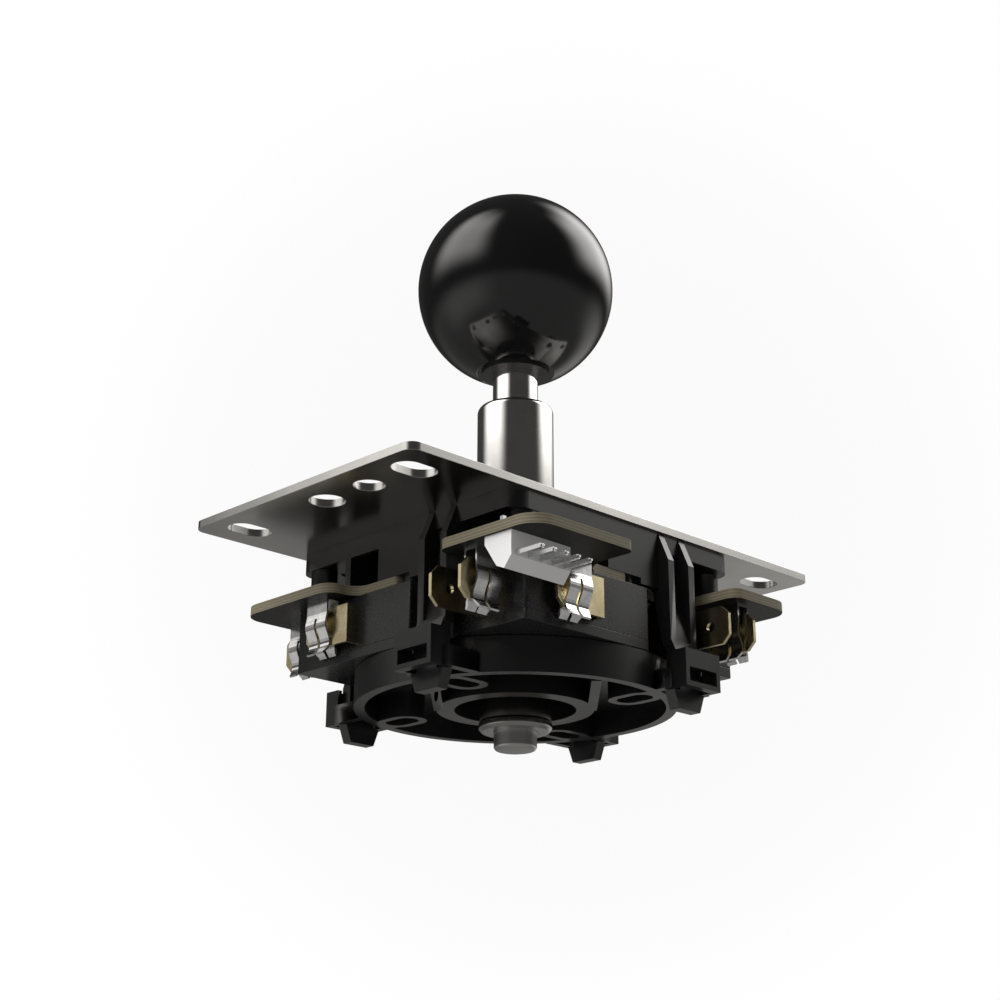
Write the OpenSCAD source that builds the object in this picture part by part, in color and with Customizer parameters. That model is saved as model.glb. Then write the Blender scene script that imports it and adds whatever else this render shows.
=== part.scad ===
// Panel lever with a ball top, four snap switches, a terminal board and a clipped-on gate.
// Frame in millimetres: z = 0 is the top face of the mounting plate, the lever's axis is
// x = y = 0, +X runs along the plate's long side and +Z points up to the ball.
// Everything at the four sides is drawn once for the side that faces -Y and turned.

/* [Mounting plate] */
// long side of the plate
plate_length = 95; // [90:1:110]
// short side of the plate
plate_width = 53; // [53:1:66]
// sheet thickness
plate_thickness = 1.3; // [1:0.1:2]
// corner radius in plan
plate_corner_radius = 2; // [1:0.5:4]
// slot centres, along the long side
slot_spacing_x = 82; // [80:1:84]
// slot centres, along the short side
slot_spacing_y = 40; // [36:1:42]
// slot width
slot_width = 5; // [4:0.5:5.5]
// slot length end to end
slot_length = 7.7; // [6.5:0.1:8.5]
// larger round hole, on the short centre line
round_hole_big = 5.8; // [4:0.1:6.2]
// smaller round hole beside it
round_hole_small = 5; // [4:0.1:6]
// step from the larger to the smaller round hole
round_hole_step = 10; // [9:0.5:11]

/* [Lever] */
// ball diameter
ball_diameter = 35; // [30:0.5:40]
// ball centre above the plate
ball_height = 48.94; // [48:0.1:56]
// bare shaft diameter
shaft_diameter = 7.95; // [7:0.05:9]
// thick sleeve diameter
sleeve_diameter = 13.3; // [12:0.1:13.6]
// top of the sleeve above the plate
sleeve_top = 26; // [22:0.5:28]
// metal actuator diameter where it runs in the gate
actuator_diameter = 11.8; // [10:0.1:12]
// rim at the actuator's foot
rim_diameter = 12.16; // [12.05:0.05:12.6]
// foot of the actuator below the plate
actuator_foot = 31.3; // [31:0.1:33]
// end of the shaft below the plate
shaft_foot = 34.3; // [34:0.1:37]
// diameter of the shaft's lower end
tip_diameter = 7.1; // [6:0.1:7.5]
// tilt centre below the plate's top face
pivot_depth = 3; // [2.8:0.1:3.2]

/* [Housing] */
// side of the square flange under the plate
flange_size = 52; // [51.5:0.1:52.6]
// flange corner radius
flange_radius = 3; // [1:0.5:4]
// underside of the flange
flange_foot = 4.4; // [4.2:0.1:4.8]
// middle of each leg along its side
leg_offset = 10; // [9.9:0.1:10.1]
// width of each leg
leg_width = 6.4; // [6.2:0.1:6.5]
// rib thickness of each leg
leg_rib = 1.4; // [1:0.1:1.8]
// outer face of the legs from the axis
leg_reach = 28.1; // [28:0.1:28.3]

/* [Switches] */
// length of a switch
switch_length = 27.8; // [27:0.1:28]
// depth of a switch from outer to inner face
switch_depth = 15.9; // [15.5:0.1:16]
// thickness of a switch
switch_thickness = 10.3; // [10.2:0.1:10.4]
// outer face of the switches from the axis
switch_reach = 26.6; // [26.5:0.1:26.7]
// switch end beyond the plunger
switch_end = 3.4; // [3.2:0.1:3.6]
// terminal width
tab_width = 6.3; // [5.8:0.1:6.4]
// terminal thickness
tab_thickness = 0.6; // [0.5:0.05:0.7]

/* [Terminal board] */
// top face of the board below the plate
board_top = 9.9; // [9.8:0.1:10]
// board thickness
board_thickness = 1.6; // [1.5:0.05:1.65]
// outer edge of the arms from the axis
arm_reach = 31.9; // [31.6:0.1:32.4]
// outer edge of the arm that carries the header
header_reach = 37.8; // [37:0.1:38.5]
// end of the arms along their side
arm_end = 33.6; // [33.4:0.1:34]
// header pin pitch
pin_pitch = 2.5; // [2.4:0.02:2.54]

/* [Gate plate] */
// top face of the gate plate below the plate
gate_top = 22; // [22:0.05:22.1]
// lower face of the gate plate
gate_foot = 27.65; // [27.6:0.05:27.8]
// outer radius of the skirt
gate_radius = 26.6; // [26.2:0.1:26.8]
// radius of the round gate
gate_bore = 10.05; // [10:0.05:10.6]
// outer radius of the hub
hub_radius = 13; // [12.8:0.1:13.6]

/* [Hidden] */
fine = 96;
mid = 48;
low = 24;
eps = 0.01;
gap = 0.1;
black = [0.05, 0.05, 0.055];
rubber = [0.03, 0.03, 0.03];
steel = [0.72, 0.71, 0.69];
dark_steel = [0.35, 0.35, 0.35];
gold = [0.72, 0.66, 0.45];
silver = [0.75, 0.75, 0.76];
tan_board = [0.35, 0.33, 0.28];
white = [0.9, 0.9, 0.9];

// plate
plate_foot = plate_thickness;
plate_bore = 13.5;
round_hole_x = slot_spacing_x / 2 + 0.2;
seal_root = 9.65;
seal_slack = 0.03;
seal_rim = 14.6;
seal_lip = 8.1;
seal_height = 1.8;
screw_x = 20;
screw_y = 19.5;
screw_head_radius = 3;
screw_radius = 1.5;
screw_seat_radius = 3.1;
screw_length = 4.2;
cross_half = 1.7;
cross_width = 0.6;
cross_depth = 0.9;

// pivot
pivot_z = -pivot_depth;
ball_joint_radius = 8;
ball_joint_half = 3;
ring_inner = 8.08;
ring_outer = 9.32;
ring_half = 2.2;
socket_radius = 9.4;
cam_round = 3;
header_inner_round = 1.6;
header_outer_round = 5.5;
arm_round = 2.9;
socket_drop = 4.5;
socket_foot = pivot_depth + socket_drop;
socket_wall = 13;
socket_mouth = 1.4;
socket_exit = 8.2;

// lever
neck_recess = 0.9;
insert_radius = 6;
insert_length = 16;
shaft_radius = shaft_diameter / 2;
sleeve_radius = sleeve_diameter / 2;
actuator_radius = actuator_diameter / 2;
rim_radius = rim_diameter / 2;
rim_height = 1.4;
cam_radius = 8.3;
cam_half = 2.2;
cam_top = 11.2;
cam_sleeve_radius = 6;
cam_foot = 19.6;
tip_radius = tip_diameter / 2;
tip_shoulder = 2;
tip_chamfer = 0.4;

// switches
switch_top = board_top + board_thickness + gap;
switch_foot = switch_top + switch_thickness;
switch_mid = switch_top + switch_thickness / 2;
switch_inner = switch_reach - switch_depth;
switch_left = switch_end - switch_length;
cover_thickness = 1.7;
case_foot = switch_foot - cover_thickness;
peg_radius = 1.5;
peg_hole = 1.55;
peg_slack = 0.08;
peg_inset = 2.9;
peg_end = 2.6;
peg_s = switch_reach - peg_inset;
peg_x_near = switch_end - peg_end;
peg_x_far = switch_left + peg_end;
plunger_tip = cam_radius + 0.4;
plunger_width = 2.4;
plunger_height = 2.5;
plunger_head = 3.4;
plunger_head_front = 13.6;
plunger_head_back = 15.1;
plunger_slack = 0.08;
cavity_front = 11.85;
cavity_back = 17.3;

// terminals
tab_mid = switch_mid - 0.45;
tab_top = tab_mid - tab_width / 2;
tab_foot = tab_mid + tab_width / 2;
tab_root = 1.8;
tab_tip = 33.3;
open_s = 21.8;
closed_s = 15.4;
common_x = 10;
common_s = 28.4;
common_end = 19.6;
tab_chamfer = 1.4;
tab_hole = 0.85;
tab_hole_x = 29.6;

// clips
clip_width = 5;
clip_sheet = 0.35;
clip_slot = 0.6;
clip_open_x = 28.6;
clip_common_x = 15.8;
clip_top = board_top + board_thickness;
clip_stand = 1.2;
clip_bulge = 1.5;
clip_pinch = 0.32;
clip_flare = 1.25;
clip_shoulder_drop = 2.5;
clip_length = 9.2;
clip_slot_drop = 3.3;
clip_shoulder = clip_top + clip_shoulder_drop;
clip_foot = clip_top + clip_length;
clip_slot_top = clip_top + clip_slot_drop;
clip_cut_depth = 4;
clip_leg = 0.9;
clip_leg_width = 1.2;

// board
arm_inner = 17;
arm_step = 10.5;
waist = 25.9;
notch_start = peg_radius + gap - peg_x_near;
notch_depth = 22;
board_round = 3.4;
board_hole = 11.4;
header_step = 12.2;

// header
header_left = 33;
header_right = 20.6;
header_front = 32.3;
header_back = switch_reach + 0.15;
header_nose = 30.8;
header_chin = 29.2;
header_front_z = 15.3;
header_nose_z = 17.1;
header_chin_z = 16.4;
header_back_z = 12.8;
pin_half = 0.32;
pin_tip = 37.7;
pin_z = 14.9;
pin_tail_s = 29.4;
pin_tail_top = 8.6;
pin_middle = (header_left + header_right) / 2;

// gate
skirt_wall = 1.8;
gate_floor = 1.5;
slot_boss_x = 7.6;
slot_boss_s = 19.5;
boss_slot_length = 6.6;
boss_slot_width = 3.8;
boss_wall = 1.35;
ear_half = 4.15;
ear_reach = 31.85;
ear_top = 21.7;
ear_bar = 1.45;
ear_window_top = 24.6;
ear_sill = 0.8;
ear_post = 0.85;
ear_block_top = 24.5;
ear_block_half = 4.8;
ear_block_reach = 29;
ear_block_root = 22.5;
ear_clear = 3.3;
rib_wall = 1.6;
rib_length = 20.5;
rib_sink = 0.4;

// legs
leg_face = flange_size / 2;
leg_shoulder = 6.3;
leg_web = leg_face - 1.2;
leg_web_z = 7;
leg_back = leg_face - 2.3;
leg_ear_z = 20.5;
leg_sheet = 1.6;
hook_inner = 26.9;
hook_outer = 28.9;
hook_neck = 2.3;
hook_wide = 3.65;
hook_end = 2.5;
hook_neck_z = 25.9;
hook_catch_z = gate_foot + 0.1;
hook_foot_z = 30.7;
wall_start = 5.3;
wall_end = leg_offset - leg_width / 2;
wall_inner = 23.4;
lip_inner = 24.9;
lip_start = 2.4;
lip_foot = 10.9;
pocket_end = 12.2;
pocket_wall = 1.3;
pocket_back = 15.4;
pocket_front = 24.6;
post_x0 = 3.8;
post_x1 = 10;
post_s0 = 12.4;
post_s1 = 21.4;
post_foot = gate_top - gap;
boss_radius = 2.2;

side_turn = [0, -90, 180, 90];

// turns a piece from the side that faces -Y to side k
module side(k) {
    rotate([0, 0, side_turn[k]])
        children();
}

// box from corner to corner: x from x0 to x1, distance from the axis s0 to s1, z downwards z0 to z1
module block(x0, x1, s0, s1, z0, z1) {
    translate([x0, -s1, -z1])
        cube([x1 - x0, s1 - s0, z1 - z0]);
}

// profile of [distance from the axis, depth] points, drawn out from x0 to x1
module strip(points, x0, x1) {
    translate([x0, 0, 0])
        rotate([90, 0, 90])
            linear_extrude(height = x1 - x0)
                polygon([for (q = points) [-q[0], -q[1]]]);
}

// profile of [x, depth] points, drawn out from distance s0 to s1
module slab(points, s0, s1) {
    translate([0, -s0, 0])
        rotate([90, 0, 0])
            linear_extrude(height = s1 - s0)
                polygon([for (q = points) [q[0], -q[1]]]);
}

// plan of [x, distance] points, drawn out from depth z0 to z1
module sheet(points, z0, z1) {
    translate([0, 0, -z1])
        linear_extrude(height = z1 - z0)
            polygon([for (q = points) [q[0], -q[1]]]);
}

// upright cylinder from depth z0 to z1
module post(x, s, r, z0, z1, n) {
    translate([x, -s, -z1])
        cylinder(r = r, h = z1 - z0, $fn = n);
}

function unit(v) = v / norm(v);

// points of one rounded corner of a plan
function corner(a, p, b, r, n) =
    let (u = unit(a - p), v = unit(b - p))
    let (half = acos(max(-1, min(1, u * v))) / 2)
    let (centre = p + unit(u + v) * r / sin(half))
    let (t0 = p + u * r / tan(half) - centre, t1 = p + v * r / tan(half) - centre)
    let (a0 = atan2(t0[1], t0[0]), raw = atan2(t1[1], t1[0]) - a0)
    let (sweep = raw > 180 ? raw - 360 : raw < -180 ? raw + 360 : raw)
    [for (i = [0:n]) centre + r * [cos(a0 + sweep * i / n), sin(a0 + sweep * i / n)]];

// closed plan with each corner rounded: list of [x, y, radius]
function rounded(list, n) =
    let (m = len(list))
    [for (i = [0:m - 1])
        let (q = list[i], a = list[(i + m - 1) % m], b = list[(i + 1) % m])
        each (q[2] > 0
            ? corner([a[0], a[1]], [q[0], q[1]], [b[0], b[1]], q[2], n)
            : [[q[0], q[1]]])];

function box_plan(hx, hy, r) = [[-hx, -hy, r], [hx, -hy, r], [hx, hy, r], [-hx, hy, r]];

// slot standing up through the part, drawn out along X
module slot_cut(x, y, length, width, z0, z1) {
    half_run = (length - width) / 2;
    for (sign = [-1, 1])
        translate([x + sign * half_run, y, z0])
            cylinder(r = width / 2, h = z1 - z0, $fn = mid);
    translate([x - half_run, y - width / 2, z0])
        cube([2 * half_run, width, z1 - z0]);
}

module mounting_plate() {
    color(steel)
        difference() {
            translate([0, 0, -plate_thickness])
                linear_extrude(height = plate_thickness)
                    polygon(rounded(box_plan(plate_length / 2, plate_width / 2, plate_corner_radius), 8));
            for (sx = [-1, 1], sy = [-1, 1])
                slot_cut(sx * slot_spacing_x / 2, sy * slot_spacing_y / 2, slot_length, slot_width,
                    -plate_thickness - eps, eps);
            post(-round_hole_x, 0, round_hole_big / 2, -eps, plate_thickness + eps, mid);
            post(-round_hole_x, round_hole_step, round_hole_small / 2, -eps, plate_thickness + eps, mid);
            post(0, 0, plate_bore, -eps, plate_thickness + eps, fine);
            for (sx = [-1, 1], sy = [-1, 1])
                translate([sx * screw_x, sy * screw_y, -plate_thickness - eps])
                    cylinder(r1 = screw_radius + 0.2, r2 = screw_seat_radius, h = plate_thickness + 2 * eps, $fn = low);
        }
}

// four flush screws that hold the plate on the housing
module plate_screws() {
    color(dark_steel)
        for (sx = [-1, 1], sy = [-1, 1])
            translate([sx * screw_x, sy * screw_y, 0])
                difference() {
                    rotate_extrude($fn = low)
                        polygon([[0, -screw_length], [screw_radius, -screw_length],
                            [screw_radius, -plate_thickness], [screw_head_radius, -0.05], [0, -0.05]]);
                    for (turn = [0, 90])
                        rotate([0, 0, turn])
                            translate([-cross_half, -cross_width / 2, -cross_depth])
                                cube([2 * cross_half, cross_width, 2 * cross_depth]);
                }
}

// one snap leg: two ribs, a web that leans outwards and an arrow-shaped hook
module snap_leg() {
    half = leg_width / 2;
    ribs = [[leg_face, plate_foot], [leg_reach, leg_shoulder], [leg_reach, leg_ear_z],
        [leg_reach - leg_sheet, leg_ear_z], [leg_back, leg_web_z], [leg_back, plate_foot]];
    web = [[leg_face, plate_foot], [leg_web, leg_web_z], [leg_reach - 0.1, leg_ear_z],
        [leg_reach - leg_sheet, leg_ear_z], [leg_back, leg_web_z], [leg_back, plate_foot]];
    for (edge = [-half, half - leg_rib])
        strip(ribs, leg_offset + edge, leg_offset + edge + leg_rib);
    strip(web, leg_offset - half, leg_offset + half);
    strip([[leg_reach, leg_ear_z - 1], [hook_outer, leg_ear_z + 0.8], [hook_outer, leg_ear_z + 2.5],
        [hook_inner, leg_ear_z + 2.5], [hook_inner, leg_ear_z - 0.4],
        [leg_reach - leg_sheet, leg_ear_z - 1]], leg_offset - half + 0.15, leg_offset + half - 0.15);
    slab([
        [leg_offset - half + 0.15, leg_ear_z + 2], [leg_offset + half - 0.15, leg_ear_z + 2],
        [leg_offset + half - 0.15, ear_window_top], [leg_offset + hook_neck, hook_neck_z],
        [leg_offset + hook_neck, hook_catch_z], [leg_offset + hook_wide, hook_catch_z],
        [leg_offset + hook_end, hook_foot_z], [leg_offset - hook_end, hook_foot_z],
        [leg_offset - hook_wide, hook_catch_z], [leg_offset - hook_neck, hook_catch_z],
        [leg_offset - hook_neck, hook_neck_z], [leg_offset - half + 0.15, ear_window_top]],
        hook_inner, hook_outer);
}

// one side of the housing: deep wall, lip, pocket walls, pegs, corner post and leg
module housing_side() {
    half_flange = flange_size / 2;
    block(-wall_start, wall_end + 1, wall_inner, half_flange, flange_foot - eps, board_top);
    block(lip_start, wall_end + 1, lip_inner, half_flange, flange_foot - eps, lip_foot);
    block(-pocket_end - pocket_wall, -pocket_end, pocket_back - pocket_wall, half_flange, flange_foot - eps, board_top);
    block(-pocket_end - pocket_wall, -wall_start, pocket_back - pocket_wall, pocket_back, flange_foot - eps,
        board_top);
    block(post_x0, post_x1, post_s0, post_s1, flange_foot - eps, post_foot);
    for (x = [peg_x_near, peg_x_far]) {
        post(x, peg_s, boss_radius, flange_foot - eps, board_top, low);
        post(x, peg_s, peg_radius, board_top - 1, case_foot, low);
    }
    snap_leg();
}

module housing() {
    color(black)
        difference() {
            union() {
                translate([0, 0, -flange_foot])
                    linear_extrude(height = flange_foot - plate_foot)
                        polygon(rounded(box_plan(flange_size / 2, flange_size / 2, flange_radius), 8));
                post(0, 0, socket_wall, flange_foot - eps, socket_foot, fine);
                for (k = [0:3])
                    side(k)
                        housing_side();
            }
            translate([0, 0, pivot_z])
                sphere(r = socket_radius, $fn = fine);
            post(0, 0, sqrt(socket_radius * socket_radius - socket_mouth * socket_mouth), 0,
                pivot_depth - socket_mouth, fine);
            post(0, 0, socket_exit, pivot_depth, socket_foot + eps, mid);
            for (sx = [-1, 1], sy = [-1, 1])
                translate([sx * screw_x, sy * screw_y, -screw_length - 0.3])
                    cylinder(r = screw_radius + 0.03, h = screw_length, $fn = low);
            for (k = [0:3])
                side(k)
                    block(-pocket_end, -wall_start, pocket_back, pocket_front, plate_foot - eps, board_top + eps);
        }
}

// round rubber seal in the plate's bore, free of the tilting pieces
module dust_seal() {
    color(rubber)
        rotate_extrude($fn = fine)
            polygon([[seal_root, -plate_foot], [plate_bore - seal_slack, -plate_foot],
                [plate_bore - seal_slack, 0], [seal_rim, 0], [seal_rim, 0.6], [seal_rim - 1.4, 1.4],
                [seal_lip + 0.5, seal_height], [seal_lip, seal_height - 0.4], [seal_lip, 0.45],
                [seal_root, 0.35]]);
}

// plan of the terminal board, one quarter turned to each side, as one closed outline
function board_quarter(reach, step, round_out, round_in) = [
    [-arm_end, arm_inner, 2], [-arm_end, reach, 4],
    [-step, reach, round_out], [-step, waist, round_in],
    [-notch_start, waist, 0.8], [-notch_start, notch_depth, 1], [arm_inner, notch_depth, 1]];

function turned(q, k) =
    k == 0 ? [q[0], -q[1], q[2]] :
    k == 1 ? [-q[1], -q[0], q[2]] :
    k == 2 ? [-q[0], q[1], q[2]] : [q[1], q[0], q[2]];

function board_plan() = [
    for (k = [0, 3, 2, 1])
        each [for (q = board_quarter(k == 0 ? header_reach : arm_reach,
            k == 0 ? header_step : arm_step, k == 0 ? header_inner_round : arm_round,
            k == 0 ? header_outer_round : arm_round)) turned(q, k)]];

module circuit_board() {
    color(tan_board)
        difference() {
            translate([0, 0, -board_top - board_thickness])
                linear_extrude(height = board_thickness)
                    polygon(rounded(board_plan(), 7));
            post(0, 0, board_hole, board_top - eps, board_top + board_thickness + eps, mid);
            for (k = [0:3])
                side(k) {
                    block(post_x0 - 0.2, post_x1 + 0.2, post_s0 - 0.2, post_s1 + 0.2,
                        board_top - eps, board_top + board_thickness + eps);
                    post(peg_x_far, peg_s, peg_radius + peg_slack, board_top - eps,
                        board_top + board_thickness + eps, low);
                    clip_holes(clip_open_x, open_s);
                    clip_holes(clip_common_x, common_s);
                }
            for (i = [-2:2])
                post(-pin_middle + i * pin_pitch, pin_tail_s, 0.5, board_top - eps,
                    board_top + board_thickness + eps, 16);
        }
}

module clip_holes(x, s) {
    for (sign = [-1, 1])
        block(-x - clip_leg_width / 2 - 0.05, -x + clip_leg_width / 2 + 0.05,
            s + sign * clip_stand - clip_sheet / 2 - 0.05, s + sign * clip_stand + clip_sheet / 2 + 0.05,
            board_top - eps, board_top + board_thickness + eps);
}

// jaw of a clip: distance from the terminal's middle against depth, 0 to 1 down the finger
function jaw_at(t) =
    t < 0.28 ? clip_stand + (clip_bulge - clip_stand) * (1 - cos(180 * t / 0.28)) / 2 :
    t < 0.74 ? clip_bulge + (clip_pinch + clip_sheet / 2 - clip_bulge)
        * (1 - cos(180 * (t - 0.28) / 0.46)) / 2 :
    clip_pinch + clip_sheet / 2 + (clip_flare - clip_pinch) * (1 - cos(90 * (t - 0.74) / 0.26));

function jaw_line(steps) = [
    for (i = [0:steps])
        [jaw_at(i / steps), clip_shoulder + (clip_foot - clip_shoulder) * i / steps]];

// strip of even thickness along a line of points
function thick(line, t) =
    let (n = len(line))
    let (nor = [for (i = [0:n - 1])
        let (d = unit(line[min(n - 1, i + 1)] - line[max(0, i - 1)])) [d[1], -d[0]]])
    concat([for (i = [0:n - 1]) line[i] + nor[i] * t / 2],
        [for (i = [n - 1:-1:0]) line[i] - nor[i] * t / 2]);

module clip_jaw(width) {
    line = concat([[clip_stand, clip_top]], jaw_line(16));
    difference() {
        strip(thick(line, clip_sheet), -width / 2, width / 2);
        block(-clip_slot / 2, clip_slot / 2, -1, clip_cut_depth, clip_slot_top, clip_foot + 1);
        for (end = [-1, 1])
            slab([[end * (width / 2 + 0.1), clip_foot - 1.2], [end * (width / 2 - 0.45), clip_foot - 0.2],
                [end * (width / 2 - 0.45), clip_foot + 1], [end * (width / 2 + 0.1), clip_foot + 1]],
                -1, clip_cut_depth);
    }
}

module spring_clip(x, s) {
    color(silver)
        translate([-x, -s, 0]) {
            clip_jaw(clip_width);
            mirror([0, 1, 0])
                clip_jaw(clip_width);
            block(-clip_width / 2, clip_width / 2, -clip_stand - clip_sheet / 2, clip_stand + clip_sheet / 2,
                clip_top, clip_top + clip_sheet);
            for (sign = [-1, 1])
                block(-clip_leg_width / 2, clip_leg_width / 2, sign * clip_stand - clip_sheet / 2,
                    sign * clip_stand + clip_sheet / 2, board_top - clip_leg, clip_top + clip_sheet);
        }
}

// case of a switch with the holes for the pegs, plunger and terminals
module switch_case() {
    color(black)
        difference() {
            sheet(rounded([[switch_left, switch_inner, 0.4], [switch_end, switch_inner, 0.4],
                [switch_end, switch_reach, 0.4], [switch_left, switch_reach, 0.4]], 3), switch_top, case_foot);
            for (x = [peg_x_near, peg_x_far])
                post(x, peg_s, peg_hole, switch_top - eps, case_foot + eps, low);
            block(-plunger_width / 2 - plunger_slack, plunger_width / 2 + plunger_slack, switch_inner - 1,
                cavity_front + 1, switch_mid - plunger_height / 2 - plunger_slack,
                switch_mid + plunger_height / 2 + plunger_slack);
            block(-plunger_head / 2 - plunger_slack, plunger_head / 2 + plunger_slack, cavity_front,
                cavity_back, switch_mid - plunger_head / 2 - plunger_slack,
                switch_mid + plunger_head / 2 + plunger_slack);
            for (s = [open_s, closed_s])
                block(switch_left - 1, switch_left + tab_root, s - tab_thickness / 2, s + tab_thickness / 2,
                    tab_top, tab_foot);
            block(-common_x, -common_x + tab_thickness, switch_reach - tab_root, switch_reach + 1,
                tab_top, tab_foot);
        }
}

module switch_cover() {
    color(black)
        sheet(rounded([[switch_left, switch_inner, 0.4], [switch_end, switch_inner, 0.4],
            [switch_end, switch_reach, 0.4], [switch_left, switch_reach, 0.4]], 3), case_foot, switch_foot);
}

// straight terminal out of the switch's end
module end_tab(s) {
    color(gold)
        difference() {
            slab([[switch_left + tab_root, tab_top], [-tab_tip + tab_chamfer, tab_top],
                [-tab_tip, tab_top + tab_chamfer], [-tab_tip, tab_foot - tab_chamfer],
                [-tab_tip + tab_chamfer, tab_foot], [switch_left + tab_root, tab_foot]],
                s - tab_thickness / 2, s + tab_thickness / 2);
            translate([-tab_hole_x, -s + 1, -tab_mid])
                rotate([90, 0, 0])
                    cylinder(r = tab_hole, h = 2, $fn = low);
        }
}

// bent terminal out of the switch's outer face
module common_tab() {
    half = tab_thickness / 2;
    color(gold)
        union() {
            block(-common_x, -common_x + tab_thickness, switch_reach - tab_root, common_s + half,
                tab_top, tab_foot);
            slab([[-common_x + tab_thickness, tab_top], [-common_end + tab_chamfer, tab_top],
                [-common_end, tab_top + tab_chamfer], [-common_end, tab_foot - tab_chamfer],
                [-common_end + tab_chamfer, tab_foot], [-common_x + tab_thickness, tab_foot]],
                common_s - half, common_s + half);
        }
}

module plunger() {
    color([0.55, 0.1, 0.08])
        union() {
            block(-plunger_width / 2, plunger_width / 2, plunger_tip, plunger_head_back,
                switch_mid - plunger_height / 2, switch_mid + plunger_height / 2);
            block(-plunger_head / 2, plunger_head / 2, plunger_head_front, plunger_head_back,
                switch_mid - plunger_head / 2, switch_mid + plunger_head / 2);
        }
}

module header_shell() {
    color(white)
        difference() {
            strip([[header_back, clip_top], [header_front, clip_top], [header_front, header_front_z],
                [header_nose, header_nose_z], [header_chin, header_chin_z], [header_back, header_back_z]], -header_left, -header_right);
            for (i = [-2:2]) {
                block(-pin_middle + i * pin_pitch - pin_half, -pin_middle + i * pin_pitch + pin_half,
                    pin_tail_s - pin_half, header_front + 1, pin_z - pin_half, pin_z + pin_half);
                block(-pin_middle + i * pin_pitch - pin_half, -pin_middle + i * pin_pitch + pin_half,
                    pin_tail_s - pin_half, pin_tail_s + pin_half, clip_top - 1, pin_z + pin_half);
            }
        }
}

// five bent pins: tail up through the board, contact end out under the board's edge
module header_pins() {
    color(silver)
        for (i = [-2:2])
            translate([-pin_middle + i * pin_pitch, 0, 0])
                union() {
                    block(-pin_half, pin_half, pin_tail_s - pin_half, pin_tail_s + pin_half,
                        pin_tail_top, pin_z + pin_half);
                    block(-pin_half, pin_half, pin_tail_s, pin_tip - 0.4, pin_z - pin_half, pin_z + pin_half);
                    block(-pin_half / 2, pin_half / 2, pin_tail_s, pin_tip, pin_z - pin_half / 2,
                        pin_z + pin_half / 2);
                }
}

// loop that a snap leg passes through
module ear() {
    inner = ear_half - ear_post;
    for (sign = [-1, 1]) {
        block(min(leg_offset + sign * ear_block_half, leg_offset + sign * ear_clear),
            max(leg_offset + sign * ear_block_half, leg_offset + sign * ear_clear),
            ear_block_root, ear_block_reach, ear_block_top, gate_foot);
        block(min(leg_offset + sign * ear_half, leg_offset + sign * ear_clear),
            max(leg_offset + sign * ear_half, leg_offset + sign * ear_clear),
            ear_block_reach - 0.2, ear_reach, ear_top, gate_foot);
    }
    block(leg_offset - ear_half, leg_offset + ear_half, ear_reach - ear_bar, ear_reach,
        ear_top, ear_window_top);
    block(leg_offset - ear_half, leg_offset + ear_half, ear_reach - ear_bar, ear_reach,
        gate_foot - ear_sill, gate_foot);
}

module slot_boss(grow) {
    translate([slot_boss_x, -slot_boss_s, -gate_foot])
        rotate([0, 0, 90])
            translate([0, 0, grow > 0 ? 0 : -eps])
                linear_extrude(height = gate_foot - gate_top + (grow > 0 ? 0 : 2 * eps))
                    polygon(rounded(box_plan(boss_slot_length / 2 + grow, boss_slot_width / 2 + grow,
                        boss_slot_width / 2 + grow - eps), 8));
}

module gate_plate() {
    color(black)
        difference() {
            union() {
                post(0, 0, gate_radius, gate_top, gate_top + gate_floor, fine);
                difference() {
                    post(0, 0, gate_radius, gate_top, gate_foot, fine);
                    post(0, 0, gate_radius - skirt_wall, gate_top - 1, gate_foot + 1, fine);
                }
                post(0, 0, hub_radius, gate_top, gate_foot, fine);
                for (k = [0:3])
                    side(k) {
                        ear();
                        slot_boss(boss_wall);
                    }
                for (sign = [-1, 1])
                    rotate([0, 0, 45])
                        translate([-rib_length, sign * (hub_radius - rib_sink) - rib_wall / 2, -gate_foot])
                            cube([rib_length, rib_wall, gate_foot - gate_top]);
            }
            post(0, 0, gate_bore, gate_top - eps, gate_foot + eps, fine);
            for (k = [0:3])
                side(k) {
                    slot_boss(0);
                    block(leg_offset - ear_clear, leg_offset + ear_clear, hook_inner - 0.3,
                        ear_reach - ear_bar, gate_top - 1, gate_foot + 1);
                }
        }
}

module pivot_ring() {
    color(white)
        translate([0, 0, pivot_z])
            difference() {
                intersection() {
                    sphere(r = ring_outer, $fn = fine);
                    cylinder(r = ring_outer + 1, h = 2 * ring_half, center = true, $fn = low);
                }
                sphere(r = ring_inner, $fn = fine);
            }
}

module pivot_ball() {
    color(black)
        translate([0, 0, pivot_z])
            difference() {
                intersection() {
                    sphere(r = ball_joint_radius, $fn = fine);
                    cylinder(r = ball_joint_radius + 1, h = 2 * ball_joint_half, center = true, $fn = low);
                }
                cylinder(r = shaft_radius, h = 3 * ball_joint_half, center = true, $fn = mid);
            }
}

module shaft() {
    neck_top = ball_height - ball_diameter / 2 + insert_length - 2;
    color(steel)
        rotate_extrude($fn = mid)
            polygon([[0, -shaft_foot], [tip_radius - tip_chamfer, -shaft_foot], [tip_radius, -shaft_foot + tip_chamfer],
                [tip_radius, -actuator_foot + tip_shoulder], [shaft_radius, -actuator_foot + tip_shoulder],
                [shaft_radius, neck_top - 0.5], [shaft_radius - 0.5, neck_top], [0, neck_top]]);
}

module sleeve() {
    color(steel)
        rotate_extrude($fn = fine)
            polygon([[shaft_radius, pivot_z + ball_joint_half], [sleeve_radius, pivot_z + ball_joint_half],
                [sleeve_radius, sleeve_top - 0.9], [sleeve_radius - 0.3, sleeve_top - 0.3],
                [sleeve_radius - 0.9, sleeve_top], [shaft_radius, sleeve_top]]);
}

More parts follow.
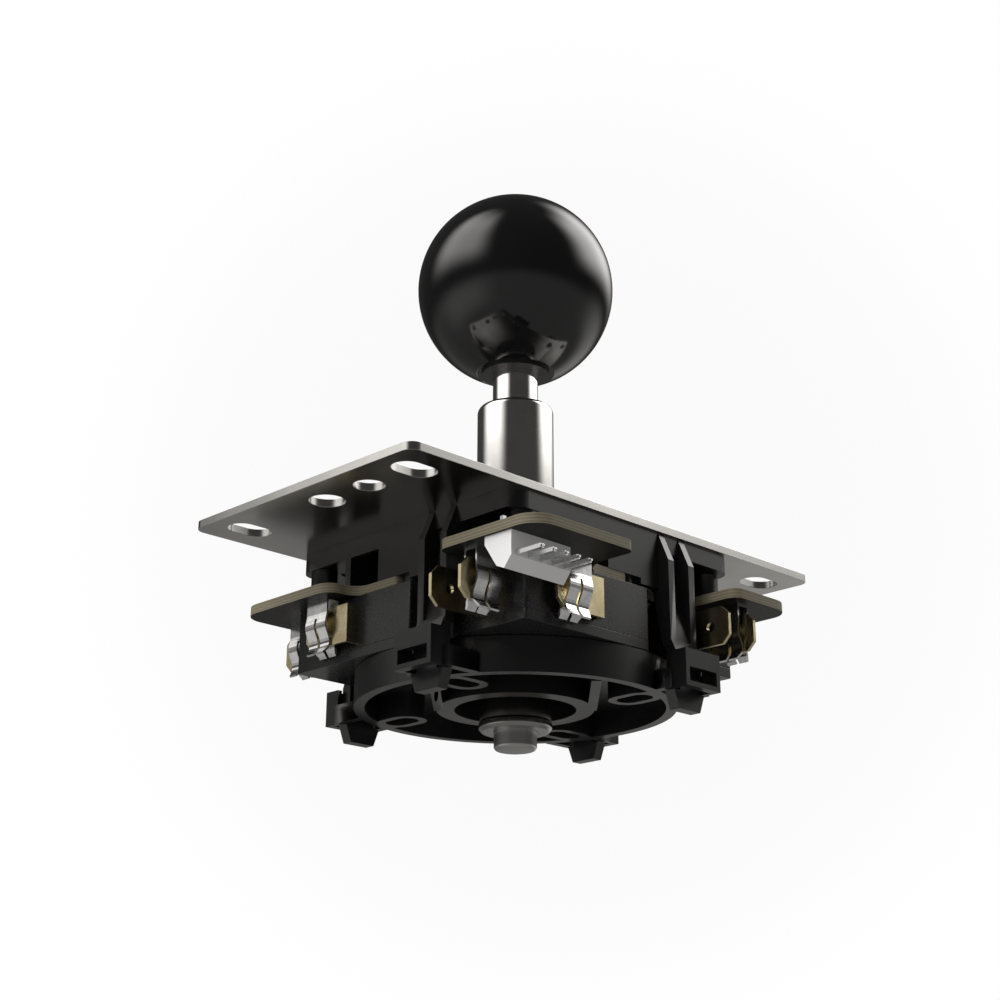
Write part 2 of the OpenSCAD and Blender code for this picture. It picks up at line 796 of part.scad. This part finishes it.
module ball_top() {
    low_z = ball_height - ball_diameter / 2;
    color(black)
        difference() {
            translate([0, 0, ball_height])
                sphere(r = ball_diameter / 2, $fn = fine);
            translate([0, 0, low_z - 1])
                cylinder(r = insert_radius + 0.9, h = 1 + neck_recess + 0.6, $fn = mid);
            translate([0, 0, low_z])
                cylinder(r = insert_radius, h = insert_length + neck_recess, $fn = mid);
        }
}

// threaded bush in the ball, drawn as a plain tube
module ball_insert() {
    low_z = ball_height - ball_diameter / 2 + neck_recess;
    color(dark_steel)
        difference() {
            translate([0, 0, low_z])
                cylinder(r = insert_radius, h = insert_length, $fn = mid);
            translate([0, 0, low_z - 1])
                cylinder(r = shaft_radius, h = insert_length + 1 - neck_recess - 2, $fn = mid);
        }
}

// plastic cam whose rounded rim presses the plungers
module cam() {
    color(black)
        rotate_extrude($fn = fine)
            polygon(concat([[shaft_radius, -cam_foot], [cam_sleeve_radius, -cam_foot]],
                [for (i = [0:10])
                    let (a = -cam_half + 2 * cam_half * i / 10)
                    [cam_radius - cam_round + sqrt(cam_round * cam_round - a * a), a - switch_mid]],
                [[cam_sleeve_radius, -cam_top], [shaft_radius, -cam_top]]));
}

module actuator() {
    color(steel)
        rotate_extrude($fn = fine)
            polygon([[shaft_radius, -cam_foot], [actuator_radius, -cam_foot],
                [actuator_radius, -actuator_foot + rim_height + 0.2], [rim_radius, -actuator_foot + rim_height],
                [rim_radius, -actuator_foot + 0.5], [rim_radius - 0.5, -actuator_foot],
                [tip_radius, -actuator_foot], [tip_radius, -actuator_foot + tip_shoulder],
                [shaft_radius, -actuator_foot + tip_shoulder]]);
}

mounting_plate();
plate_screws();
housing();
dust_seal();
circuit_board();
header_shell();
header_pins();
gate_plate();
side(0) switch_case();  // switch_case_front
side(1) switch_case();  // switch_case_left
side(2) switch_case();  // switch_case_back
side(3) switch_case();  // switch_case_right
side(0) switch_cover();  // switch_cover_front
side(1) switch_cover();  // switch_cover_left
side(2) switch_cover();  // switch_cover_back
side(3) switch_cover();  // switch_cover_right
side(0) common_tab();  // common_tab_front
side(1) common_tab();  // common_tab_left
side(2) common_tab();  // common_tab_back
side(3) common_tab();  // common_tab_right
side(0) end_tab(open_s);  // open_tab_front
side(1) end_tab(open_s);  // open_tab_left
side(2) end_tab(open_s);  // open_tab_back
side(3) end_tab(open_s);  // open_tab_right
side(0) end_tab(closed_s);  // closed_tab_front
side(1) end_tab(closed_s);  // closed_tab_left
side(2) end_tab(closed_s);  // closed_tab_back
side(3) end_tab(closed_s);  // closed_tab_right
side(0) spring_clip(clip_common_x, common_s);  // common_clip_front
side(1) spring_clip(clip_common_x, common_s);  // common_clip_left
side(2) spring_clip(clip_common_x, common_s);  // common_clip_back
side(3) spring_clip(clip_common_x, common_s);  // common_clip_right
side(0) spring_clip(clip_open_x, open_s);  // open_clip_front
side(1) spring_clip(clip_open_x, open_s);  // open_clip_left
side(2) spring_clip(clip_open_x, open_s);  // open_clip_back
side(3) spring_clip(clip_open_x, open_s);  // open_clip_right
side(0) plunger();  // plunger_front
side(1) plunger();  // plunger_left
side(2) plunger();  // plunger_back
side(3) plunger();  // plunger_right
pivot_ring();
pivot_ball();
shaft();
sleeve();
ball_top();
ball_insert();
cam();
actuator();
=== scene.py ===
# %% [markdown]
# A panel joystick: a ball-topped lever that leans in a socket under a flat steel plate, four
# snap switches round its foot, a terminal board and a clipped-on round gate.
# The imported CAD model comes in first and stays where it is. Everything below either gives a
# CAD node its finish or replaces a node by a surface with finer edges in the same place.

# %% Load the frame
import math
import bpy
import numpy as np
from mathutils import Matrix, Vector


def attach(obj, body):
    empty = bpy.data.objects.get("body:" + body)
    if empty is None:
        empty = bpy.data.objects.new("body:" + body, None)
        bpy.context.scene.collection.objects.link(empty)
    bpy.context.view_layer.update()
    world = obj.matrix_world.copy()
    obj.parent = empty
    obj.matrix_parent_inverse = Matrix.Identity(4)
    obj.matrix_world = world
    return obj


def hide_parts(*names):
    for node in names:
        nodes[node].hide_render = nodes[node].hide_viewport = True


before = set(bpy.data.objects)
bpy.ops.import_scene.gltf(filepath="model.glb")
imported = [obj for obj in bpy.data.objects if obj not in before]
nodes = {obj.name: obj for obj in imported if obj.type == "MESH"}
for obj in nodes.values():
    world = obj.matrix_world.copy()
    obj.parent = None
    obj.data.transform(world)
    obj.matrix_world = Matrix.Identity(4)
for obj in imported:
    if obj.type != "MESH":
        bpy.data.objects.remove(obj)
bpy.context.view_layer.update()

MM = 0.001
SIDES = ("front", "left", "back", "right")

# %% [markdown]
# The picture is taken from below and from the corner where the slots are, with a lens long
# enough to keep the plate's edges nearly parallel. The direction of view, the distance and the
# focal length were worked out from the plate's outline and the ball. The camera aims at a point
# on the lever just above the plate, and the shift puts the lens axis where the picture has it.

# %% Camera
PITCH, TURN = 0.377395, 0.784034          # upward tilt and turn about the upright, in radians
AIM_UP, AIM_RIGHT, DISTANCE = 0.02199, 0.000186, 0.3143
look = Vector((math.sin(TURN) * math.cos(PITCH), math.cos(TURN) * math.cos(PITCH), math.sin(PITCH)))
side = Vector((math.cos(TURN), -math.sin(TURN), 0))
camera = bpy.data.objects.new("camera", bpy.data.cameras.new("camera"))
bpy.context.scene.collection.objects.link(camera)
camera.location = Vector((0, 0, AIM_UP)) + side * AIM_RIGHT - look * DISTANCE
camera.rotation_euler = look.to_track_quat("-Z", "Y").to_euler()
camera.data.sensor_width = 36
camera.data.lens = 64.69
camera.data.shift_x, camera.data.shift_y = -0.01648, -0.06945
camera.data.clip_start, camera.data.clip_end = 0.01, 20
bpy.context.scene.camera = camera
print("camera at", [round(v * 1000) for v in camera.location], "mm")

# %% [markdown]
# Shader maths reads best as plain expressions. One small class wraps an output socket, and
# its operators add Math nodes, so a mask can be written as 1 - edge * 0.4. Every other node
# comes from one method that sets the node's options first and then its sockets.


# %% Shader expressions
class Wire:
    """An output socket that can be used in sums: +, -, * and abs() add Math nodes."""

    def __init__(self, tree, socket):
        self.tree, self.socket = tree, socket

    def math(self, operation, *others):
        made = self.tree.node("ShaderNodeMath", {"operation": operation},
                              {0: self, **{i + 1: v for i, v in enumerate(others)}})
        return made.out()

    def __add__(self, v): return self.math("ADD", v)
    def __sub__(self, v): return self.math("SUBTRACT", v)
    def __mul__(self, v): return self.math("MULTIPLY", v)
    def __radd__(self, v): return self.math("ADD", v)
    def __rmul__(self, v): return self.math("MULTIPLY", v)
    def __rsub__(self, v): return (self * -1).math("ADD", v)
    def __abs__(self): return self.math("ABSOLUTE")

    def ramp(self, low, high):
        """0 at low, 1 at high, smooth between."""
        made = self.tree.node("ShaderNodeMapRange", {"interpolation_type": "SMOOTHERSTEP"},
                              {0: self, 1: low, 2: high, 3: 0.0, 4: 1.0})
        return made.out()


class Made:
    """A node that was just made, asked for its outputs by number or name."""

    def __init__(self, tree, node):
        self.tree, self.raw = tree, node

    def out(self, which=0):
        return Wire(self.tree, self.raw.outputs[which])


class Tree:
    """The nodes of one material or of the world."""

    def __init__(self, owner):
        owner.use_nodes = True
        self.tree = owner.node_tree
        self.tree.nodes.clear()

    def node(self, kind, settings=None, values=None):
        """One node: its options are set first, then its sockets get values or links."""
        made = self.tree.nodes.new(kind)
        for key, value in (settings or {}).items():
            setattr(made, key, value)
        for key, value in (values or {}).items():
            if isinstance(value, Wire):
                self.tree.links.new(value.socket, made.inputs[key])
            elif isinstance(value, (tuple, list)) and len(value) == 3 and made.inputs[key].type == "RGBA":
                made.inputs[key].default_value = (*value, 1)
            else:
                made.inputs[key].default_value = value
        return Made(self, made)

    def mix(self, factor, a, b):
        """Colour mix of a and b."""
        made = self.node("ShaderNodeMix", {"data_type": "RGBA"}, {0: factor, 6: a, 7: b})
        return made.out(2)

    def noise(self, where, scale, detail=2.0, rough=0.5):
        return self.node("ShaderNodeTexNoise", {"noise_dimensions": "3D"},
                         {"Vector": where, "Scale": scale, "Detail": detail, "Roughness": rough}).out()

    def place(self):
        """Object coordinates in metres."""
        return self.node("ShaderNodeTexCoord").out("Object")

    def stretch(self, where, factors):
        return self.node("ShaderNodeMapping", {}, {"Vector": where, "Scale": factors}).out()

    def split(self, where):
        made = self.node("ShaderNodeSeparateXYZ", {}, {0: where})
        return made.out(0), made.out(1), made.out(2)

    def bump(self, height, strength, distance):
        return self.node("ShaderNodeBump", {}, {"Height": height, "Strength": strength,
                                                "Distance": distance}).out()


def surface(name, **sockets):
    """A material whose Principled shader gets the given socket values or links."""
    def build(make):
        material = bpy.data.materials.new(name)
        tree = Tree(material)
        values = {**sockets, **make(tree)}
        shader = tree.node("ShaderNodeBsdfPrincipled", {}, values)
        tree.node("ShaderNodeOutputMaterial", {}, {"Surface": shader.out()})
        return material
    return build


# %% [markdown]
# The part hangs in a light room: a white surround behind it, and two wide soft lights high at
# the left and at the right rear. Both lights are written into the world as smooth patches of
# sky, so the ball and the polished shaft show them with soft ends and no lamp frames. Two faint
# glows lie low at the same sides, the sky below is a mid grey that dims away from the camera,
# and one more light at the front left is met by scattered rays alone, for the white header.
# Camera rays see the white surround instead, with a faint painted shade that greys it around the part.

# %% World
world = bpy.data.worlds.new("studio")
bpy.context.scene.world = world
sky = Tree(world)
direction = sky.node("ShaderNodeTexCoord").out("Generated")
sx, sy, sz = sky.split(direction)
climb = sz.math("ARCSINE") * (180 / math.pi)


def patch(towards, half_width, soft_width, low, high, soft_height, level):
    """A soft light: full inside half_width degrees of azimuth 'towards' and between two
    elevations, fading over the soft margins. Azimuth 0 is the camera's side, + is right."""
    back = math.atan2(-look.y, -look.x)
    angle = back + math.radians(towards)
    along = (sx * math.cos(angle) + sy * math.sin(angle))
    across = (sy * math.cos(angle) - sx * math.sin(angle))
    off = abs(across.math("ARCTAN2", along)) * (180 / math.pi)
    wide = 1 - off.ramp(half_width - soft_width, half_width + soft_width)
    above = climb.ramp(low - soft_height, low + soft_height)
    below = 1 - climb.ramp(high - soft_height, high + soft_height)
    return wide * (above * below) * level


SKY_BELOW, SKY_ABOVE = 0.33, 0.05
left_light = patch(-71, 31, 19, 22.5, 70, 16, 3.1)
right_light = patch(115, 31, 22, 22.5, 62, 13, 4.0)
left_glow = patch(-68, 30, 26, -32, -6, 12, 0.5)
right_glow = patch(138, 30, 26, -20, 4, 10, 0.6)
far_shade = patch(180, 60, 40, -48, -4, 12, -0.12)
base = SKY_BELOW - climb.ramp(-12, 8) * (SKY_BELOW - SKY_ABOVE)
lights = left_light + right_light + left_glow + right_glow + far_shade + base
ray = sky.node("ShaderNodeLightPath")
seen, scattered = ray.out("Is Camera Ray"), ray.out("Is Diffuse Ray")
lights = lights + scattered * patch(-52, 45, 30, 0, 75, 20, 1.6)
centre = Vector((0.657, 0.62, 0.30)).normalized()          # from the camera through the part
near = sky.node("ShaderNodeVectorMath", {"operation": "DOT_PRODUCT"},
                {0: direction, 1: tuple(centre)}).out("Value")
# painted shade: the white surround is greyed a little in the directions round the part
surround = 1.0 - near.ramp(0.955, 0.995) * 0.045
strength = seen * surround + (1 - seen) * lights
tint = sky.mix(seen, (1.0, 0.985, 0.96), (1.0, 1.0, 1.0))
glow = sky.node("ShaderNodeBackground", {}, {"Color": tint, "Strength": strength})
sky.node("ShaderNodeOutputWorld", {}, {"Surface": glow.out()})

# %% [markdown]
# The part is held by its plate, so it has no place to stand. The floor lies well below it. It
# is pale to the camera and clear to every other ray, so the underside of the plate mirrors the
# dim lower part of the sky and not the floor.

# %% Floor
floor_size, floor_level = 6.0, -0.5          # metres
floor_mesh = bpy.data.meshes.new("floor")
floor_mesh.from_pydata([(x * floor_size, y * floor_size, floor_level) for x, y in
                        ((-1, -1), (1, -1), (1, 1), (-1, 1))], [], [(0, 1, 2, 3)])
floor = bpy.data.objects.new("floor", floor_mesh)
bpy.context.scene.collection.objects.link(floor)
paint = bpy.data.materials.new("pale_floor")
tree = Tree(paint)
seen = tree.node("ShaderNodeLightPath").out("Is Camera Ray")
pale = tree.node("ShaderNodeEmission", {}, {"Color": (0.97, 0.97, 0.97), "Strength": 0.98})
lit = tree.node("ShaderNodeBsdfDiffuse", {}, {"Color": (0.5, 0.5, 0.5)})
clear = tree.node("ShaderNodeBsdfTransparent", {}, {"Color": (1.0, 1.0, 1.0)})
shown = tree.node("ShaderNodeMixShader", {}, {0: 0.05, 1: pale.out(), 2: lit.out()})
both = tree.node("ShaderNodeMixShader", {}, {0: seen, 1: clear.out(), 2: shown.out()})
tree.node("ShaderNodeOutputMaterial", {}, {"Surface": both.out()})
floor_mesh.materials.append(paint)


# %% [markdown]
# Metals first. The plate is cold-rolled sheet: bright, smooth enough to mirror the legs, with
# a faint rolling grain along its length. The shaft and its sleeve are turned and polished, so
# their grain runs round the axis: noise in radius and height, the same all the way round.

# %% Metal finishes
def turned_steel(name, colour, rough, grain, dull_below=-1.0):
    """Metal turned on a lathe: fine rings across the axis in roughness and bump. Below the height
    'dull_below' it is darker and less smooth."""
    def make(t):
        x, y, z = t.split(t.place())
        radius = (x * x + y * y).math("SQRT")
        rings = t.node("ShaderNodeCombineXYZ", {}, {0: radius * 3000, 1: z * 6000, 2: 0.0}).out()
        lines = t.noise(rings, 1.0, 3.0, 0.6)
        cloud = t.noise(t.place(), 240.0, 3.0)
        base = t.mix(cloud.ramp(0.35, 0.7), colour, tuple(c * 0.9 for c in colour))
        dull = 1 - z.ramp(dull_below - 0.001, dull_below + 0.001)
        base = t.mix(dull, base, tuple(c * 0.55 for c in colour))
        return {"Base Color": base,
                "Roughness": rough + dull * 0.24 + (lines - 0.5) * 0.08 + (cloud - 0.5) * 0.05,
                "Normal": t.bump(lines, grain, 0.00002)}
    return surface(name, Metallic=1.0, IOR=2.5)(make)


def rolled_sheet(t):
    grain = t.noise(t.stretch(t.place(), (60, 4200, 900)), 1.0, 4.0, 0.6)
    cloud = t.noise(t.place(), 90.0, 4.0)
    base = t.mix(cloud.ramp(0.3, 0.7), (0.60, 0.585, 0.565), (0.53, 0.52, 0.50))
    return {"Base Color": base, "Roughness": 0.21 + (grain - 0.5) * 0.07 + (cloud - 0.5) * 0.06,
            "Normal": t.bump(grain, 0.12, 0.00002)}


plate_metal = surface("rolled_plate_steel", Metallic=1.0)(rolled_sheet)
TIP_TOP = -0.028          # the shaft's foot below this height is darker and less smooth
shaft_metal = turned_steel("turned_shaft_steel", (0.78, 0.765, 0.74), 0.10, 0.10, dull_below=TIP_TOP)
sleeve_metal = turned_steel("turned_sleeve_steel", (0.80, 0.785, 0.76), 0.12, 0.10)
actuator_metal = turned_steel("turned_actuator_steel", (0.30, 0.29, 0.28), 0.22, 0.2)


def sprung_sheet(t):
    grain = t.noise(t.stretch(t.place(), (900, 900, 9000)), 1.0, 3.0)
    cloud = t.noise(t.place(), 700.0, 3.0)
    return {"Base Color": t.mix(cloud.ramp(0.3, 0.7), (0.78, 0.78, 0.785), (0.66, 0.66, 0.67)),
            "Roughness": 0.2 + (grain - 0.5) * 0.12, "Normal": t.bump(grain, 0.15, 0.00001)}


def brass_sheet(t):
    grain = t.noise(t.stretch(t.place(), (2500, 2500, 500)), 1.0, 3.0)
    cloud = t.noise(t.place(), 500.0, 4.0)
    return {"Base Color": t.mix(cloud.ramp(0.3, 0.7), (0.79, 0.69, 0.44), (0.66, 0.56, 0.34)),
            "Roughness": 0.24 + (grain - 0.5) * 0.14, "Normal": t.bump(grain, 0.15, 0.00001)}


def tinned(t):
    cloud = t.noise(t.place(), 1500.0, 3.0)
    return {"Base Color": t.mix(cloud, (0.80, 0.80, 0.81), (0.68, 0.68, 0.69)),
            "Roughness": 0.22 + cloud * 0.12}


def black_oxide(t):
    cloud = t.noise(t.place(), 900.0, 3.0)
    return {"Base Color": t.mix(cloud, (0.06, 0.06, 0.062), (0.11, 0.11, 0.11)),
            "Roughness": 0.34 + cloud * 0.16}


clip_metal = surface("sprung_clip_sheet", Metallic=1.0)(sprung_sheet)
tab_metal = surface("brass_terminal", Metallic=1.0)(brass_sheet)
pin_metal = surface("tinned_pin", Metallic=1.0)(tinned)
screw_metal = surface("blackened_screw", Metallic=1.0)(black_oxide)
print("metals:", [m.name for m in bpy.data.materials])


# %% [markdown]
# Plastics differ by their skin. The ball is polished, so its roughness hardly moves. The
# housing, the gate and the switch cases come out of a spark-eroded mould, which leaves a very
# fine grain: noise a few hundredths of a millimetre deep in the bump, and slow changes of gloss.

# %% Plastic finishes
def moulded(name, dark, light, rough, grain_scale, grain_depth, **more):
    def make(t):
        grain = t.noise(t.place(), grain_scale, 2.0)
        cloud = t.noise(t.place(), 130.0, 3.0)
        return {"Base Color": t.mix(cloud, dark, light),
                "Roughness": rough + (cloud - 0.5) * 0.1 + (grain - 0.5) * 0.06,
                "Normal": t.bump(grain, 0.05, grain_depth)}
    return surface(name, **more)(make)


ball_gloss = moulded("polished_ball", (0.006, 0.006, 0.0065), (0.009, 0.009, 0.0095), 0.10, 900.0,
                     0.000002, IOR=1.5)
body_black = moulded("moulded_black", (0.007, 0.007, 0.0075), (0.012, 0.012, 0.0125), 0.30, 4200.0,
                     0.00001)
switch_black = moulded("switch_black", (0.009, 0.009, 0.0095), (0.014, 0.014, 0.0145), 0.27, 3600.0,
                       0.000008)
header_white = moulded("header_white", (0.88, 0.88, 0.89), (0.83, 0.83, 0.84), 0.38, 3000.0, 0.00001)
nylon = moulded("natural_nylon", (0.70, 0.69, 0.64), (0.62, 0.61, 0.56), 0.4, 2500.0, 0.00001)
nylon_black = moulded("black_nylon", (0.012, 0.012, 0.012), (0.02, 0.02, 0.02), 0.36, 3000.0, 0.00001)
plunger_red = moulded("plunger_red", (0.30, 0.03, 0.025), (0.22, 0.02, 0.02), 0.35, 3000.0, 0.00001)
seal_rubber = moulded("seal_rubber", (0.012, 0.012, 0.012), (0.02, 0.02, 0.02), 0.62, 2600.0, 0.00002)


# %% [markdown]
# The board shows its build: the faces are dark lacquer, and the milled edge shows the glass
# cloth as thin bands. The face or edge is told by how level the surface lies, so the normal's
# upright part is the mask, and the bands are a wave in z.

# %% Board finish
def laminate(t):
    where = t.place()
    x, y, z = t.split(where)
    level = abs(t.split(t.node("ShaderNodeNewGeometry").out("Normal"))[2]).ramp(0.3, 0.7)
    layers = (z * 12500 + t.noise(where, 900.0, 2.0) * 1.2).math("SINE")
    fibre = t.noise(t.stretch(where, (2500, 2500, 9000)), 1.0, 3.0)
    edge = t.mix((layers * 0.5 + 0.5) * 0.6 + fibre * 0.4, (0.13, 0.11, 0.075), (0.25, 0.225, 0.16))
    cloud = t.noise(where, 160.0, 3.0)
    face = t.mix(cloud, (0.006, 0.006, 0.0055), (0.011, 0.011, 0.0105))
    return {"Base Color": t.mix(level, edge, face),
            "Roughness": 0.62 - level * 0.16 + (fibre - 0.5) * 0.1,
            "Normal": t.bump(fibre + layers * 0.2, 0.35, 0.00002)}


board_finish = surface("board_laminate", IOR=1.32)(laminate)


# %% [markdown]
# Each CAD node takes its finish by name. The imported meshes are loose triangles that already
# point the right way, so they keep their mesh and only change material.

# %% Dress the CAD nodes
finish = {"mounting_plate": plate_metal, "plate_screws": screw_metal, "housing": body_black,
          "dust_seal": seal_rubber, "circuit_board": board_finish, "header_shell": header_white,
          "header_pins": pin_metal, "gate_plate": body_black, "pivot_ring": nylon, "pivot_ball": nylon_black,
          "shaft": shaft_metal, "sleeve": sleeve_metal, "ball_top": ball_gloss, "ball_insert": screw_metal,
          "cam": nylon_black, "actuator": actuator_metal}
stems = {"switch_case": switch_black, "switch_cover": switch_black, "common_tab": tab_metal,
         "open_tab": tab_metal, "closed_tab": tab_metal, "common_clip": clip_metal, "open_clip": clip_metal,
         "plunger": plunger_red}
for stem, material in stems.items():
    for where in SIDES:
        finish[stem + "_" + where] = material
for name, node in nodes.items():
    node.data.materials.clear()
    node.data.materials.append(finish[name])
print("dressed", len(nodes), "nodes")


# %% [markdown]
# What was made on a lathe is remade as a smooth surface of revolution: a profile in radius and
# height is turned round the axis in even steps. The corners of a profile are rounded first,
# each one replaced by a short arc, since an edge that catches light is what tells metal.

# %% Revolved pieces
def eased(profile, radius, steps=4):
    """Profile (n, 2) with each inner corner replaced by a quadratic arc that starts and ends
    'radius' away from it, or less where the neighbours are close."""
    p = np.asarray(profile, float)
    a, b, c = p[:-2], p[1:-1], p[2:]
    la = np.linalg.norm(a - b, axis=1, keepdims=True)
    lc = np.linalg.norm(c - b, axis=1, keepdims=True)
    reach = np.minimum(radius, 0.4 * np.minimum(la, lc))
    s, e = b + (a - b) / la * reach, b + (c - b) / lc * reach
    t = np.linspace(0, 1, steps + 1)[None, :, None]
    arcs = (1 - t) ** 2 * s[:, None] + 2 * t * (1 - t) * b[:, None] + t ** 2 * e[:, None]
    return np.vstack([p[:1], arcs.reshape(-1, 2), p[-1:]])


def grid_mesh(name, points, wrap_u=True, wrap_v=False):
    """Mesh from an (n, m, 3) grid of points: quads between neighbours, wrapped as asked."""
    n, m = points.shape[:2]
    i, j = np.meshgrid(np.arange(n if wrap_u else n - 1), np.arange(m if wrap_v else m - 1), indexing="ij")
    i2, j2 = (i + 1) % n, (j + 1) % m
    quads = np.stack([i * m + j, i2 * m + j, i2 * m + j2, i * m + j2], -1).reshape(-1, 4)
    mesh = bpy.data.meshes.new(name)
    mesh.from_pydata(points.reshape(-1, 3).tolist(), [], quads.tolist())
    return mesh


def finished(name, mesh, material, body, slot, *stands_for, angle=35):
    """Object at the origin: doubles merged, smooth with sharp edges over 'angle', on its body."""
    import bmesh
    work = bmesh.new()
    work.from_mesh(mesh)
    bmesh.ops.remove_doubles(work, verts=work.verts, dist=1e-7)
    bmesh.ops.dissolve_degenerate(work, edges=work.edges, dist=1e-8)
    bmesh.ops.recalc_face_normals(work, faces=work.faces)
    work.to_mesh(mesh)
    work.free()
    mesh.shade_smooth()
    mesh.set_sharp_from_angle(angle=math.radians(angle))
    mesh.materials.append(material)
    piece = bpy.data.objects.new(name, mesh)
    bpy.context.scene.collection.objects.link(piece)
    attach(piece, body)
    if stands_for:
        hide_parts(*stands_for)
    return piece


def revolve(name, profile, material, body, slot, *stands_for, steps=128, round_off=0.0):
    """(radius, height) in mm turned round the axis: x = r cos a, y = r sin a, z = height."""
    p = eased(profile, round_off) if round_off else np.asarray(profile, float)
    a = np.linspace(0, 2 * np.pi, steps, endpoint=False)[:, None]
    height = np.broadcast_to(p[:, 1], (steps, len(p)))
    points = np.stack([p[:, 0] * np.cos(a), p[:, 0] * np.sin(a), height], -1)
    return finished(name, grid_mesh(name, points * MM, True, False), material, body, slot, *stands_for)


BALL_Z, BALL_R, BORE, BUSH = 48.94, 17.5, 6.9, 6.0
BORE_FLOOR, BUSH_TOP = 32.94, 48.3
lip = math.asin(BORE / BALL_R)
turn = np.linspace(math.pi, lip, 120)
skin = np.stack([BALL_R * np.sin(turn), BALL_Z - BALL_R * np.cos(turn)], 1)
skin[0, 0] = 0.0
socket = [(BORE - 0.15, skin[-1, 1] + 0.12), (BORE, skin[-1, 1] + 0.35), (BORE, BORE_FLOOR),
          (BUSH, BORE_FLOOR), (BUSH, BUSH_TOP), (0.0, BUSH_TOP)]
revolve("ball", np.vstack([skin, socket]), ball_gloss, "lever", "ball_plastic", "ball_top", steps=192)
SHAFT, SLEEVE, STUD, TIP = 3.975, 6.65, 3.4, 3.55
COLUMN, RIM, RIM_FOOT = 5.9, 6.08, 5.58
shaft_profile = [(0, 45.4), (STUD, 45.4), (SHAFT, 44.9), (SHAFT, -29.3), (TIP, -29.3), (TIP, -33.9),
                 (3.15, -34.3), (0, -34.3)]
sleeve_profile = [(SHAFT, 0.0), (SLEEVE, 0.0), (SLEEVE, 25.1), (6.35, 25.7), (5.75, 26.0),
                  (SHAFT, 26.0), (SHAFT, 0.0)]
actuator_profile = [(SHAFT, -19.6), (COLUMN, -19.6), (COLUMN, -29.7), (RIM, -29.9), (RIM, -30.8),
                    (RIM_FOOT, -31.3), (TIP, -31.3), (TIP, -29.3), (SHAFT, -29.3), (SHAFT, -19.6)]
revolve("shaft_rod", shaft_profile, shaft_metal, "lever", "shaft_steel", "shaft", round_off=0.25)
revolve("sleeve_tube", sleeve_profile, sleeve_metal, "lever", "sleeve_steel", "sleeve", round_off=0.3)
revolve("actuator_foot", actuator_profile, actuator_metal, "lever", "actuator_steel", "actuator",
        round_off=0.2)


# %% [markdown]
# The moulded and pressed pieces keep their CAD shape, and need only the small radius that a
# mould or a press leaves on every edge. A copy of each node's mesh is merged, its flat faces
# joined, and a Bevel modifier rounds what is left.

# %% Rounded edges
def softened(name, width, material, body, angle=28, segments=2):
    """Copy of a CAD node with its edges rounded by 'width' millimetres."""
    import bmesh
    mesh = nodes[name].data.copy()
    mesh.name = name + "_eased"
    work = bmesh.new()
    work.from_mesh(mesh)
    bmesh.ops.remove_doubles(work, verts=work.verts, dist=2e-6)
    bmesh.ops.dissolve_limit(work, angle_limit=math.radians(1.0), verts=work.verts, edges=work.edges)
    work.to_mesh(mesh)
    work.free()
    mesh.materials.clear()
    mesh.materials.append(material)
    mesh.shade_smooth()
    mesh.set_sharp_from_angle(angle=math.radians(angle))
    piece = bpy.data.objects.new(name + "_eased", mesh)
    bpy.context.scene.collection.objects.link(piece)
    bevel = piece.modifiers.new("edge radius", "BEVEL")
    bevel.width, bevel.segments, bevel.limit_method = width * MM, segments, "ANGLE"
    bevel.angle_limit = math.radians(angle)
    bevel.use_clamp_overlap = True
    bevel.harden_normals = True
    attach(piece, body)
    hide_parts(name)
    return piece


softened("mounting_plate", 0.12, plate_metal, "frame")
softened("housing", 0.10, body_black, "frame")
softened("gate_plate", 0.12, body_black, "frame")
softened("circuit_board", 0.06, board_finish, "frame")
softened("header_shell", 0.15, header_white, "frame")
for where in SIDES:
    softened("switch_case_" + where, 0.15, switch_black, "frame")
    softened("switch_cover_" + where, 0.15, switch_black, "frame")

# %% Close
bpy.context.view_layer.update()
scene = bpy.context.scene
scene.view_settings.view_transform = "Standard"
